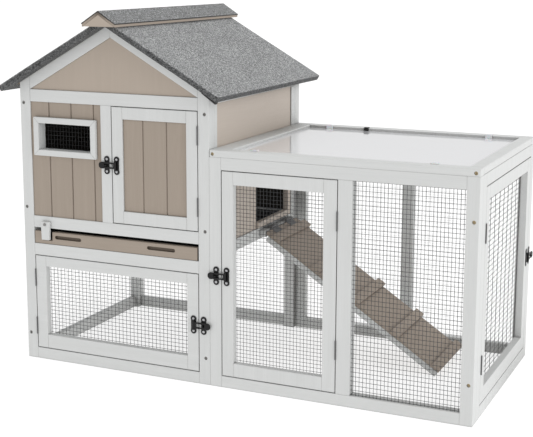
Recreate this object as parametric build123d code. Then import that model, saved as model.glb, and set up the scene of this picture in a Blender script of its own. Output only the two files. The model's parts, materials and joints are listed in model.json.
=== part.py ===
from build123d import *
import math
import os

# Rabbit hutch: a two-storey gabled house with a mesh run beside it. Millimetres, +Z up, front faces -Y.
# Drawn from the house's front left bottom corner; save() moves it so that the origin is the base centre.

# Driving dimensions
hutch_length = 1200.0
house_width = 540.0
hutch_depth = 558.0
stick = 30.0          # square timber of the posts and rails
board = 18.0          # thickness of door frames and secondary rails
edge_bevel = 0.8      # eased edge on all timber
door_gap = 2.0        # gap all round each door
sheet_wire = 0.8      # thickness of a wire mesh panel
mesh_lap = 10.0       # how far a mesh panel laps the frame it is fixed behind
mesh_inset = 6.0      # front face to a mesh panel set between two rails

# Heights of the house front, from the ground up
sill_top = 29.8
lower_door_top = 281.4
tray_slot_bottom = 312.4
tray_slot_top = 354.8
floor_rail_top = 385.3
tie_bottom = 681.9
tie_top = 713.3
side_rail_bottom = 310.0
side_rail_top = 340.0
side_wall_top = 697.0

# Roof
roof_pitch = math.radians(29.6)
eave_height = 710.0
eave_overhang = 35.0
front_overhang = 31.5
back_overhang = 44.0
roof_thickness = 12.0
felt_thickness = 2.0
felt_lip = 26.0
cap_pitch = math.radians(32.6)
cap_half_width = 46.0
cap_top = 915.9
cap_board = 6.0
cap_front = -52.0
cap_back = 628.0

# Run
run_sill_top = 29.0
run_beam_bottom = 542.6
run_beam_top = 572.9
lid_top = 590.0
run_post = 31.0
run_door_right = 869.9
run_stile_right = 905.0
end_stile = 32.0
back_stile_left = 853.0
back_stile_right = 886.0

# House front, left to right
mid_stile_left = 238.0
mid_stile_right = 268.2
board_pitch = 66.0

# Window in the left board panel
window_outer = (42.0, 226.0, 545.0, 643.5)
window_trim_width = 15.0
window_proud = 7.0
window_depth = 24.0   # depth of the sleeve, which carries the mesh
sleeve_wall = 6.0
first_groove = {"front": 84.0, "door": 355.5}

# Doorway in the right wall, and the ramp
doorway = (276.0, 471.0, 357.0, 545.0)
ramp_front = 290.0
ramp_back = 490.0
ramp_angle = 33.3
ramp_length = 577.0
ramp_board_thickness = 8.0
ramp_pivot_height = 338.0
cleat_width = 25.0
cleat_count = 5
cleat_start = 24.0
cleat_overhang = 8.0
ramp_rail = 15.0
batten_height = 18.0

# Tray
tray_front_top = 345.0
tray_front_thickness = 14.5
tray_right = 506.0
tray_left = 31.5
tray_back = 520.0
tray_sheet = 1.2
tray_pan_bottom = 315.0
tray_pan_top = 341.0
tray_pan_front_top = 321.0
grip_from_middle = 136.0
grip_half = 35.0
grip_radius = 4.5
grip_height = 332.0
button_pivot = (70.0, 366.0)
button_width = 25.0
button_above = 7.0    # from the pivot up to the button's top
button_bottom = 325.0
button_front = -10.3
screw_shank = 2.0

# Hardware
knuckle_radius = 1.6
pin_radius = 0.8
running_clearance = 0.05
hinge_length = 46.0
leaf_thickness = 0.8
leaf_depth = 16.0
latch_half = 14.0     # latch centre to each plate's centre
lobe_radius = 7.6
lobe_height = 15.4
plate_thickness = 1.5
latch_web = 6.6       # half the width of each plate between its lobes
latch_arm_half = 8.0  # half the height of the arm, whose slot leaves two bars
latch_slot_half = 4.0
latch_pin_x = 12.0
latch_pin_out = 5.2
latch_pin_radius = 1.2
latch_screw_hole = 2.1
hinge_heights = {"upper_door": (447, 622), "lower_door": (90, 220),
                 "run_door": (136, 445), "end_door": (127, 435)}
latch_heights = {"upper": 533, "lower": 151, "run": 282, "end": 279}
ramp_hinge_places = (340, 440)
ramp_knuckle = 3.0    # radius of the ramp hinges' knuckles

# Lid
lid_rail = 32.0
lid_left_rail = 46.0
lid_sheet_thickness = 2.0
lid_sheet_drop = 7.0
lid_rebate = 8.0
clip_places = (646.0, 1088.0)
lid_stop_place = 752.0

post_right = house_width - stick
run_post_right_edge = house_width + run_post
run_right_post = hutch_length - stick
ridge_x = house_width / 2
side_panel_thickness = 7.0
panel_recess = 3.0
back_rail_front = hutch_depth - board
nodes = {}


def box(x0, x1, y0, y1, z0, z1):
    """A plain box between two corners."""
    middle = Location(((x0 + x1) / 2, (y0 + y1) / 2, (z0 + z1) / 2))
    return middle * Box(x1 - x0, y1 - y0, z1 - z0)


def timber(x0, x1, y0, y1, z0, z1, bevel=edge_bevel):
    """A stick or board with eased edges."""
    solid = box(x0, x1, y0, y1, z0, z1)
    return chamfer(solid.edges(), bevel)


def plate_xz(points, y0, y1, bevel=0.0):
    """A flat piece with an outline in X and Z, from y0 back to y1."""
    face = Plane.XZ.offset(-y0) * make_face(Polyline(*points, close=True))
    solid = extrude(face, amount=y1 - y0, dir=(0, 1, 0))
    if bevel:
        solid = chamfer(solid.edges(), bevel)
    return solid


def add(name, *solids):
    """Puts solids in the node of that name."""
    nodes.setdefault(name, []).extend(solids)


def roof_under(x):
    """Height of the roof's underside above a point x across the house."""
    run = x + eave_overhang if x < ridge_x else house_width - x + eave_overhang
    return eave_height + run * math.tan(roof_pitch)


def mirror_house(solid):
    """The same piece on the other side of the ridge."""
    return mirror(solid, about=Plane.YZ.offset(ridge_x))


def screw(x, y, z, turn=0.0):
    """A countersunk wood screw in a plugged recess, driven along +Y, then turned about Z."""
    head = Pos(0, 4.0, 0) * Rot(90, 0, 0) * Cylinder(4.0, 2.0)
    shank = Pos(0, 16.5, 0) * Rot(90, 0, 0) * Cylinder(1.9, 23.0)
    slots = box(-2.4, 2.4, 2.9, 3.8, -0.45, 0.45) + box(-0.45, 0.45, 2.9, 3.8, -2.4, 2.4)
    return Pos(x, y, z) * Rot(0, 0, turn) * ((head + shank) - slots)


def screw_hole(x, y, z, turn=0.0):
    """The recess and pilot hole for a screw."""
    recess = Pos(0, 1.5, 0) * Rot(90, 0, 0) * Cylinder(4.4, 7.0)
    pilot = Pos(0, 16.7, 0) * Rot(90, 0, 0) * Cylinder(2.0, 23.8)
    return Pos(x, y, z) * Rot(0, 0, turn) * (recess + pilot)


def grooved_board(x0, x1, y0, y1, z0, z1, first):
    """Tongue and groove boarding: a panel with V grooves on its front, the first at x = first."""
    panel = box(x0, x1, y0, y1, z0, z1)
    x = first
    while x < x1 - 5:
        vee = [(x - 2.2, y0 - 0.01), (x + 2.2, y0 - 0.01), (x, y0 + 3.2)]
        face = Plane.XY.offset(z0 - 1) * make_face(Polyline(*vee, close=True))
        panel -= extrude(face, amount=z1 - z0 + 2)
        x += board_pitch
    return panel


def door_frame(x0, x1, z0, z1, left, right, bottom, top):
    """Two full-height stiles with a rail butted between them at each end, front face at y = 0."""
    return [
        timber(x0, x0 + left, 0, board, z0, z1),
        timber(x1 - right, x1, 0, board, z0, z1),
        timber(x0 + left, x1 - right, 0, board, z0, z0 + bottom),
        timber(x0 + left, x1 - right, 0, board, z1 - top, z1),
    ]


def hinge(length=hinge_length):
    """A butt hinge about Z: outward is -Y, the door is on -X. Returns the fixed and moving halves."""
    segment = length / 3
    face = knuckle_radius + 0.3
    half = length / 2
    fixed_leaf = box(door_gap / 2 - leaf_thickness, door_gap / 2, face, leaf_depth, -half, half)
    moving_leaf = box(-door_gap / 2, leaf_thickness - door_gap / 2, face, leaf_depth, -half, half)
    fixed = fixed_leaf
    for side in (-1, 1):
        middle = side * segment
        neck = box(door_gap / 2 - leaf_thickness, door_gap / 2, 0, face,
                   middle - segment / 2, middle + segment / 2)
        fixed += neck + Pos(0, 0, middle) * Cylinder(knuckle_radius, segment)
    fixed += Cylinder(pin_radius, length)
    short = segment - 0.4
    neck = box(-door_gap / 2, leaf_thickness - door_gap / 2, 0, face, -short / 2, short / 2)
    moving = moving_leaf + neck + Cylinder(knuckle_radius, short)
    moving -= Cylinder(pin_radius + running_clearance, length)
    return fixed, moving


def latch():
    """A flip hasp about its own middle: outward is -Y, door plate on +X, keeper on -X."""
    def lobed_plate(x):
        web = box(x - latch_web, x + latch_web, -plate_thickness, 0, -lobe_height, lobe_height)
        for side in (-1, 1):
            disc = Pos(x, -plate_thickness / 2, side * lobe_height) * Rot(90, 0, 0)
            web += disc * Cylinder(lobe_radius, plate_thickness)
            web -= disc * Cylinder(latch_screw_hole, 4)
        return web

    pin_z = Pos(latch_pin_x, -latch_pin_out, 0)
    plate = lobed_plate(latch_half)
    for side in (-1, 1):
        cheek_z = side * 10.6
        cheek = box(latch_pin_x - 2.0, latch_pin_x + 2.0, -latch_pin_out, -plate_thickness,
                    cheek_z - 1.3, cheek_z + 1.3)
        plate += cheek + pin_z * Pos(0, 0, cheek_z) * Cylinder(3.0, 2.6)
    plate += pin_z * Cylinder(latch_pin_radius, 23.8)

    arm_face = -latch_pin_out - 1.0
    arm = box(-22.0, latch_pin_x - 1.5, arm_face, arm_face + 2.0, -latch_arm_half, latch_arm_half)
    arm += pin_z * Cylinder(3.0, 18.0)
    tab = Pos(-26.0, arm_face + 0.2, 0) * Rot(90, 0, 0) * Cylinder(8.6, 3.6)
    tab = chamfer(tab.edges(), 0.8)
    arm += tab
    slot = box(-18.5, 6.5, arm_face - 4, arm_face + 4, -latch_slot_half, latch_slot_half)
    arm -= slot
    arm -= pin_z * Cylinder(latch_pin_radius + running_clearance, 26.0)

    keeper = lobed_plate(-latch_half)
    keeper += box(-16.0, -12.0, -10.5, -plate_thickness, -1.6, 1.6)
    return keeper, plate, arm


def facing(x, y, z, flip=False, end=False):
    """Where a hinge or latch goes: flip puts the door on the other side, end turns it to face +X."""
    place = Location((x, y, z))
    if end:
        place = place * Rot(0, 0, 90)
    if flip:
        place = place * Rot(0, 180, 0)
    return place


def fit_hinges(door, x, y, flip=False, end=False):
    """Hangs a door on its hinges."""
    for z in hinge_heights[door]:
        fixed, moving = hinge()
        place = facing(x, y, z, flip, end)
        add("hinge_fixed_leaves", place * fixed)
        add(door + "_hinge_leaves", place * moving)


def fit_latch(name, x, y, flip=False, end=False):
    """Puts a flip hasp across a door's edge."""
    keeper, plate, arm = latch()
    place = facing(x, y, latch_heights[name], flip, end)
    add("latch_keepers", place * keeper)
    add(name + "_latch_plate", place * plate)
    add(name + "_latch_arm", place * arm)
    pin = place * Pos(latch_pin_x, -latch_pin_out, 0)
    print("pivot", name + "_latch_arm", pin.position)


def house_posts():
    """Four corner posts, cut to the slope of the roof, with their screws."""
    screw_rows = {(0, 0): (68, 407, 678), (post_right, 0): (68, 388, 674),
                  (0, 1): (68, 407, 678), (post_right, 1): (68, 388, 674)}
    for (x0, back), heights in screw_rows.items():
        outline = [(x0, 0), (x0 + stick, 0), (x0 + stick, roof_under(x0 + stick)), (x0, roof_under(x0))]
        y0 = hutch_depth - stick if back else 0
        post = plate_xz(outline, y0, y0 + stick, edge_bevel)
        screw_x = x0 + (10.0 if x0 == 0 else stick - 12.0)
        face = hutch_depth if back else 0
        turn = 180.0 if back else 0.0
        for z in heights:
            post -= screw_hole(screw_x, face, z, turn)
            add("frame_screws", screw(screw_x, face, z, turn))
        add("house_posts_back" if back else "house_posts_front", post)


def house_front():
    """Rails and middle stile between the two front posts."""
    for z0, z1 in ((0, sill_top), (lower_door_top, tray_slot_bottom), (tie_bottom, tie_top)):
        add("house_front_frame", timber(stick, post_right, 0, stick, z0, z1))
    floor_rail = timber(stick, post_right, 0, stick, tray_slot_top, floor_rail_top)
    pilot = Pos(button_pivot[0], 10, button_pivot[1]) * Rot(90, 0, 0) * Cylinder(screw_shank, 20.4)
    add("house_front_frame", floor_rail - pilot)
    add("house_front_frame", timber(mid_stile_left, mid_stile_right, 0, stick, floor_rail_top, tie_bottom))


def board_panel():
    """Left board panel with its window: proud mitred trim, deep sleeve and wire mesh."""
    x0, x1, z0, z1 = window_outer
    w = window_trim_width
    panel = grooved_board(stick, mid_stile_left, panel_recess, panel_recess + 8,
                          floor_rail_top, tie_bottom, first_groove["front"])
    inner = (x0 + w, x1 - w, z0 + w, z1 - w)
    outer = (inner[0] - sleeve_wall, inner[1] + sleeve_wall, inner[2] - sleeve_wall, inner[3] + sleeve_wall)
    add("front_board_panel", panel - box(*outer[:2], 0, 20, *outer[2:]))
    corners = [(x0, z0), (x1, z0), (x1, z1), (x0, z1)]
    insides = [(inner[0], inner[2]), (inner[1], inner[2]), (inner[1], inner[3]), (inner[0], inner[3])]
    for i in range(4):
        j = (i + 1) % 4
        outline = [corners[i], corners[j], insides[j], insides[i]]
        add("window_trim", plate_xz(outline, -window_proud, panel_recess, edge_bevel))
    sleeve = box(*outer[:2], panel_recess, window_depth, *outer[2:])
    sleeve -= box(*inner[:2], 0, window_depth + 5, *inner[2:])
    add("window_trim", sleeve)
    mesh = (inner[0] - 4, inner[1] + 4, window_depth, window_depth + sheet_wire, inner[2] - 4, inner[3] + 4)
    add("window_mesh", box(*mesh))


def gables():
    """Rake boards and triangular panels at the front and back."""
    drop = roof_under(stick) - tie_top
    back_panel_front = hutch_depth - panel_recess - side_panel_thickness
    for y0, panel_y in ((0, panel_recess), (back_rail_front, back_panel_front)):
        apex = roof_under(ridge_x)
        outline = [(stick, tie_top), (ridge_x, apex - drop), (ridge_x, apex), (stick, roof_under(stick))]
        rake = plate_xz(outline, y0, y0 + board, edge_bevel)
        add("gable_rakes", rake, mirror_house(rake))
        triangle = [(stick, tie_top), (post_right, tie_top), (ridge_x, apex - drop)]
        add("gable_panels", plate_xz(triangle, panel_y, panel_y + side_panel_thickness))


def house_side(left):
    """Rails, stiles and tray runner of one side wall."""
    name = "house_left_frame" if left else "house_right_frame"
    y0 = stick
    y1 = hutch_depth - stick
    pieces = []
    pieces.append(timber(0, stick, y0, y1, side_rail_bottom, side_rail_top))
    pieces.append(timber(0, board, y0, y0 + 15, side_rail_top, side_wall_top))
    pieces.append(timber(0, board, y1 - 25, y1, side_rail_top, side_wall_top))
    top = [(0, side_wall_top), (board, side_wall_top), (board, roof_under(board)), (0, roof_under(0))]
    pieces.append(plate_xz(top, y0, y1, edge_bevel))
    pieces.append(timber(stick, stick + 12, 40, 515, 303, 314.6))
    if left:
        pieces.append(timber(0, board, y0, y1, 0, sill_top))
    for piece in pieces:
        add(name, piece if left else mirror_house(piece))


def side_panels():
    """Boarded side walls: the right one has the doorway with its sill and jamb battens."""
    y0 = stick + 15
    y1 = hutch_depth - stick - 25
    x0 = panel_recess
    left = box(x0, x0 + side_panel_thickness, y0, y1, side_rail_top, side_wall_top)
    add("side_panel_left", left)
    a, b, c, d = doorway
    right = mirror_house(left) - box(house_width - 40, house_width + 5, a, b, c, d)
    add("side_panel_right", right)
    face = house_width - panel_recess
    add("side_panel_right", timber(face, face + 8, a, b + 16, c - 14, c, 0.5))
    add("side_panel_right", timber(face, face + 8, b, b + 16, c, d + 14, 0.5))


def house_back():
    """Rails and boarding between the back posts."""
    for z0, z1 in ((0, sill_top), (side_rail_bottom, side_rail_top), (tie_bottom, tie_top)):
        add("house_back_frame", timber(stick, post_right, back_rail_front, hutch_depth, z0, z1))
    y = hutch_depth - panel_recess - side_panel_thickness
    add("back_panel", box(stick, post_right, y, y + side_panel_thickness, side_rail_top, tie_bottom))


def house_mesh():
    """Wire mesh round the lower storey: between the left rails, and inside the back rails."""
    left = (mesh_inset, mesh_inset + sheet_wire)
    add("house_mesh", box(*left, stick, hutch_depth - stick, sill_top, side_rail_bottom))
    back = (back_rail_front - sheet_wire, back_rail_front)
    add("house_mesh", box(stick, post_right, *back, sill_top - mesh_lap, side_rail_bottom + mesh_lap))


def tray():
    """Pull-out tray: sheet metal pan on a wooden front, which is relieved behind the turn button."""
    bottom = tray_slot_bottom + 0.8
    front = timber(tray_left, tray_right, 0.5, tray_front_thickness, bottom, tray_front_top)
    relief = (button_pivot[0] - button_width / 2 - 2.5, button_pivot[0] + button_width / 2 + 2.5)
    front -= box(*relief, -1, 20, button_bottom - 3, tray_front_top + 1)
    middle = (tray_left + tray_right) / 2
    for side in (-1, 1):
        place = Pos(middle + side * grip_from_middle, 0.5, grip_height)
        slot = place * Rot(90, 0, 0) * Box(2 * grip_half, 2 * grip_radius, 12)
        for end in (-1, 1):
            slot += place * Pos(end * grip_half, 0, 0) * Rot(90, 0, 0) * Cylinder(grip_radius, 12)
        front -= slot
    add("tray_front", front)
    x0 = stick + 4
    x1 = post_right - 4
    inside = (x0 + tray_sheet, x1 - tray_sheet)
    pan = box(x0, x1, tray_front_thickness, tray_back, tray_pan_bottom, tray_pan_top)
    pan -= box(*inside, tray_front_thickness + tray_sheet, tray_back - tray_sheet,
               tray_pan_bottom + tray_sheet, tray_pan_top + 10)
    pan -= box(*inside, 0, tray_front_thickness + 5, tray_pan_front_top, tray_pan_top + 10)
    add("tray_pan", pan)


def turn_button():
    """White wooden turn button that keeps the tray in, on its own screw."""
    x, z = button_pivot
    half = button_width / 2
    solid = timber(x - half, x + half, button_front, -0.3, button_bottom, z + button_above, 1.2)
    solid -= Pos(x, -5, z) * Rot(90, 0, 0) * Cylinder(screw_shank + running_clearance, 20)
    add("turn_button", solid)
    head = Pos(x, button_front - 1.2, z) * Rot(90, 0, 0) * Cylinder(3.6, 2.0)
    shank = Pos(x, 4.75, z) * Rot(90, 0, 0) * Cylinder(screw_shank - 0.02, 30.5)
    add("frame_screws", head + shank)
    print("pivot turn_button", (x, 0, z))


def upper_door():
    """Framed, boarded cabin door hinged on its right edge."""
    x0 = mid_stile_right + door_gap
    x1 = post_right - door_gap
    z0 = floor_rail_top + door_gap
    z1 = tie_bottom - door_gap
    add("upper_door_frame", *door_frame(x0, x1, z0, z1, 30, 30, 31, 30))
    add("upper_door_panel", grooved_board(x0 + 30, x1 - 30, 5, 12, z0 + 31, z1 - 30, first_groove["door"]))
    fit_hinges("upper_door", x1 + door_gap / 2, -knuckle_radius)
    fit_latch("upper", (mid_stile_right + x0) / 2, 0)
    print("pivot upper_door", (x1 + door_gap / 2, -knuckle_radius, 0))


def mesh_behind(x0, x1, z0, z1, left, right, bottom, top):
    """Wire mesh fixed to the back of a door frame."""
    lap = mesh_lap
    return box(x0 + left - lap, x1 - right + lap, board, board + sheet_wire,
               z0 + bottom - lap, z1 - top + lap)


def lower_door():
    """Wide mesh door of the lower storey, hinged on its left edge."""
    size = (stick + door_gap, post_right - door_gap, sill_top + door_gap, lower_door_top - door_gap)
    widths = (31, 31, 36, 27)
    add("lower_door_frame", *door_frame(*size, *widths))
    add("lower_door_mesh", mesh_behind(*size, *widths))
    fit_hinges("lower_door", size[0] - door_gap / 2, -knuckle_radius, flip=True)
    fit_latch("lower", size[1] + door_gap / 2, 0, flip=True)
    print("pivot lower_door", (size[0] - door_gap / 2, -knuckle_radius, 0))


def run_door():
    """Tall mesh door of the run, hinged on its right edge."""
    size = (run_post_right_edge + door_gap, run_door_right - door_gap, run_sill_top + door_gap,
            run_beam_bottom - door_gap)
    widths = (30, 33, 34, 32)
    add("run_door_frame", *door_frame(*size, *widths))
    add("run_door_mesh", mesh_behind(*size, *widths))
    fit_hinges("run_door", size[1] + door_gap / 2, -knuckle_radius)
    fit_latch("run", size[0] - door_gap / 2, 0)
    print("pivot run_door", (size[1] + door_gap / 2, -knuckle_radius, 0))


def end_door():
    """Mesh door that fills the run's right end, hinged on its front edge."""
    y0 = stick + end_stile + door_gap
    y1 = hutch_depth - stick - door_gap
    size = (y0, y1, run_sill_top + door_gap, run_beam_bottom - door_gap)
    widths = (30, 30, 36, 32)
    turn = Location((hutch_length, 0, 0), (0, 0, 90))
    for piece in door_frame(*size, *widths):
        add("end_door_frame", turn * piece)
    add("end_door_mesh", turn * mesh_behind(*size, *widths))
    pivot = (hutch_length + knuckle_radius, y0 - door_gap / 2)
    fit_hinges("end_door", pivot[0], pivot[1], flip=True, end=True)
    fit_latch("end", hutch_length, y1 + door_gap / 2, flip=True, end=True)
    print("pivot end_door", pivot)


def run_frame():
    """Posts, rails and stiles of the run."""
    top = run_beam_top
    add("run_posts_left", timber(house_width, run_post_right_edge, 0, stick, 0, top))
    add("run_posts_left", timber(house_width, run_post_right_edge, back_rail_front, hutch_depth, 0, top))
    for y0, turn in ((0, 0.0), (hutch_depth - stick, 180.0)):
        post = timber(run_right_post, hutch_length, y0, y0 + stick, 0, top)
        face = y0 + stick if turn else y0
        for z in (97, 471):
            post -= screw_hole(hutch_length - 11.5, face, z, turn)
            add("frame_screws", screw(hutch_length - 11.5, face, z, turn))
        add("run_posts_right", post)
    add("run_front_frame", timber(run_post_right_edge, run_right_post, 0, stick, 0, run_sill_top))
    add("run_front_frame", timber(run_post_right_edge, run_right_post, 0, stick, run_beam_bottom, top))
    add("run_front_frame", timber(run_door_right, run_stile_right, 0, stick, run_sill_top, run_beam_bottom))
    y0 = back_rail_front
    add("run_back_frame", timber(run_post_right_edge, run_right_post, y0, hutch_depth, 0, run_sill_top))
    add("run_back_frame", timber(run_post_right_edge, run_right_post, y0, hutch_depth, run_beam_bottom, top))
    add("run_back_frame", timber(back_stile_left, back_stile_right, y0, hutch_depth,
                                 run_sill_top, run_beam_bottom))
    x0 = hutch_length - board
    front = stick + end_stile
    back = hutch_depth - stick
    add("run_end_frame", timber(x0, hutch_length, stick, front, 0, top))
    add("run_end_frame", timber(x0, hutch_length, front, back, 0, run_sill_top))
    add("run_end_frame", timber(x0, hutch_length, front, back, run_beam_bottom, top))


def run_mesh():
    """Fixed wire mesh of the run: between the front rails, and inside the back rails and stile."""
    z0 = run_sill_top
    z1 = run_beam_bottom
    add("run_mesh", box(run_stile_right, run_right_post, mesh_inset, mesh_inset + sheet_wire, z0, z1))
    back = (back_rail_front - sheet_wire, back_rail_front)
    add("run_mesh", box(run_post_right_edge - mesh_lap, run_right_post, *back, z0 - mesh_lap, z1 + mesh_lap))


def lid():
    """Fixed framed sheet over the run, with its retaining clips."""
    x0 = house_width + 1.0
    x1 = hutch_length
    z0 = run_beam_top
    y0 = lid_rail
    y1 = hutch_depth - lid_rail
    sheet_top = lid_top - lid_sheet_drop
    sheet = box(x0 + lid_left_rail - lid_rebate, x1 - lid_rail + lid_rebate, y0 - lid_rebate, y1 + lid_rebate,
                sheet_top - lid_sheet_thickness, sheet_top)
    rails = [
        timber(x0, x1, 0, y0, z0, lid_top),
        timber(x0, x1, y1, hutch_depth, z0, lid_top),
        timber(x0, x0 + lid_left_rail, y0, y1, z0, lid_top, 1.5),
        timber(x1 - lid_rail, x1, y0, y1, z0, lid_top, 1.5),
    ]
    for x in (x0 + 7.5, x1 - 10.5):
        rails[0] -= screw_hole(x, 0, z0 + 7.5)
        add("frame_screws", screw(x, 0, z0 + 7.5))
    add("lid_frame", *[piece - sheet for piece in rails])
    add("lid_sheet", sheet)
    for x in clip_places:
        for y, inward in ((y0, 1), (y1, -1)):
            add("lid_clips", clip(x, y, inward, 18.0))
    add("lid_stop", clip(lid_stop_place, y1, -1, 12.0))


def clip(x, y, inward, width):
    """A small angle that sits on a rail's inner edge and holds the sheet down."""
    y_in = y + inward * 5
    y_out = y - inward * 9
    top = box(x - width / 2, x + width / 2, min(y_in, y_out), max(y_in, y_out), lid_top, lid_top + 2.2)
    lip = box(x - width / 2, x + width / 2, min(y, y_in), max(y, y_in), lid_top - 7, lid_top)
    return top + lip


def ramp():
    """Ramp hinged under the doorway: board, side rails below it and cleats on top."""
    batten_top = ramp_pivot_height - ramp_knuckle
    batten_out = house_width + board
    batten = (house_width, batten_out, ramp_front + 2, ramp_back - 2, batten_top - batten_height, batten_top)
    add("house_right_frame", timber(*batten))
    pivot_x = batten_out + ramp_knuckle
    place = Location((pivot_x, 0, ramp_pivot_height), (0, ramp_angle, 0))
    top = -ramp_knuckle
    under = top - ramp_board_thickness
    board_piece = timber(4.5, ramp_length, ramp_front, ramp_back, under, top)
    add("ramp_board", place * board_piece)
    for y0 in (ramp_front, ramp_back - ramp_rail):
        add("ramp_rails", place * timber(14, ramp_length - 2, y0, y0 + ramp_rail, under - ramp_rail, under))
    pitch = (ramp_length - cleat_width - cleat_start) / (cleat_count - 1)
    y0 = ramp_front - cleat_overhang
    y1 = ramp_back + cleat_overhang
    for i in range(cleat_count):
        x = cleat_start + i * pitch
        add("ramp_cleats", place * timber(x, x + cleat_width, y0, y1, top, top + ramp_board_thickness, 0.6))
    for y in ramp_hinge_places:
        add("hinge_fixed_leaves", Pos(pivot_x, y, ramp_pivot_height) * ramp_hinge_fixed())
        add("ramp_hinge_leaves", Pos(0, y, 0) * place * ramp_hinge_moving())
    print("pivot ramp", (pivot_x, 0, ramp_pivot_height))


def ramp_hinge_fixed():
    """Half of a ramp hinge on the batten's top, knuckles along Y, with the pin."""
    solid = box(-19, 0, -20, 20, -ramp_knuckle, -1.8)
    solid -= box(-3.3, 3.3, -6.7, 6.7, -4, 4)
    for side in (-1, 1):
        solid += Pos(0, side * 13.3, 0) * Rot(90, 0, 0) * Cylinder(ramp_knuckle, 13.4)
    return solid + Rot(90, 0, 0) * Cylinder(1.5, 40)


def ramp_hinge_moving():
    """Other half, on the ramp's top, in the ramp's own slope."""
    solid = box(3.3, 22, -20, 20, -ramp_knuckle, -1.8)
    solid += box(0, 3.4, -6.3, 6.3, -ramp_knuckle, -1.8)
    solid += Rot(90, 0, 0) * Cylinder(ramp_knuckle, 12.6)
    return solid - Rot(90, 0, 0) * Cylinder(1.5 + running_clearance, 60)


def roof():
    """Two roof boards with mineral felt that wraps their front, back and eave edges."""
    t = roof_thickness
    f = felt_thickness
    sin, cos = math.sin(roof_pitch), math.cos(roof_pitch)
    apex = roof_under(ridge_x)
    eave = (-eave_overhang, eave_height)
    y0 = -front_overhang
    y1 = hutch_depth + back_overhang
    profile = [eave, (ridge_x, apex), (ridge_x, apex + t / cos), (eave[0] - t * sin, eave[1] + t * cos)]
    board_left = plate_xz(profile, y0, y1)
    low = (eave[0] - f * cos + f * sin, eave[1] - f * sin - f * cos)
    high = (eave[0] - f * cos - (t + f) * sin, eave[1] - f * sin + (t + f) * cos)
    wrap = [low, (ridge_x, apex - f / cos), (ridge_x, apex + (t + f) / cos), high]
    felt = plate_xz(wrap, y0 - f, y1 + f) - board_left
    rise = math.tan(roof_pitch)
    inner = -eave_overhang + felt_lip
    beyond = ridge_x + 1
    bare = [(inner, 0), (beyond, 0), (beyond, apex + rise), (inner, eave_height + felt_lip * rise)]
    felt -= plate_xz(bare, y0 + felt_lip, y1 - felt_lip)
    add("roof_boards", board_left, mirror_house(board_left))
    add("roof_felt", felt, mirror_house(felt))


def ridge_cap():
    """Raised ridge cap: two boards, their felt, a triangular block at each end and two hidden saddles."""
    cos = math.cos(cap_pitch)
    slope = math.tan(cap_pitch)
    felt_apex = cap_top
    board_apex = felt_apex - felt_thickness / cos
    under_apex = board_apex - cap_board / cos

    def cap_strip(low, high, half):
        """One sloping strip of the cap's left side, between two apex heights."""
        x = ridge_x - half
        return [(x, low - half * slope), (ridge_x, low), (ridge_x, high), (x, high - half * slope)]

    boards = plate_xz(cap_strip(under_apex, board_apex, cap_half_width), cap_front, cap_back)
    felt = plate_xz(cap_strip(board_apex, felt_apex, cap_half_width + 1), cap_front - 1, cap_back + 1)
    add("ridge_cap_boards", boards, mirror_house(boards))
    add("ridge_cap_felt", felt, mirror_house(felt))
    half = cap_half_width - 1.5
    base = under_apex - half * slope
    triangle = [(ridge_x - half, base), (ridge_x + half, base), (ridge_x, under_apex)]
    for y in (cap_front, cap_back - 10):
        add("ridge_cap_ends", plate_xz(triangle, y, y + 10))
    main_apex = roof_under(ridge_x) + (roof_thickness + felt_thickness) / math.cos(roof_pitch)
    half = 30.0
    over = under_apex - half * slope
    under = main_apex - half * math.tan(roof_pitch)
    saddle = [(ridge_x, under_apex), (ridge_x + half, over), (ridge_x + half, under),
              (ridge_x, main_apex), (ridge_x - half, under), (ridge_x - half, over)]
    for y in (100, 440):
        add("ridge_cap_ends", plate_xz(saddle, y, y + 20))


def save():
    """Moves everything to the base centre and writes one STEP file for each node."""
    os.makedirs("parts", exist_ok=True)
    whole = Compound([solid for group in nodes.values() for piece in group for solid in piece.solids()])
    bounds = whole.bounding_box()
    middle = Vector((bounds.min.X + bounds.max.X) / 2, (bounds.min.Y + bounds.max.Y) / 2, bounds.min.Z)
    for name, group in nodes.items():
        solids = [solid for piece in group for solid in piece.solids()]
        moved = [Pos(-middle.X, -middle.Y, -middle.Z) * solid for solid in solids]
        export_step(Compound(moved), "parts/" + name + ".step")
    print("origin offset", middle, "size", bounds.size, "nodes", len(nodes))


house_posts()
house_front()
board_panel()
gables()
house_side(True)
house_side(False)
side_panels()
house_back()
house_mesh()
tray()
turn_button()
upper_door()
lower_door()
roof()
ridge_cap()
run_frame()
run_mesh()
run_door()
end_door()
lid()
ramp()
save()
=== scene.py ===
import json
import math
import random
import bpy
import numpy as np
from mathutils import Matrix, Vector

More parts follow.
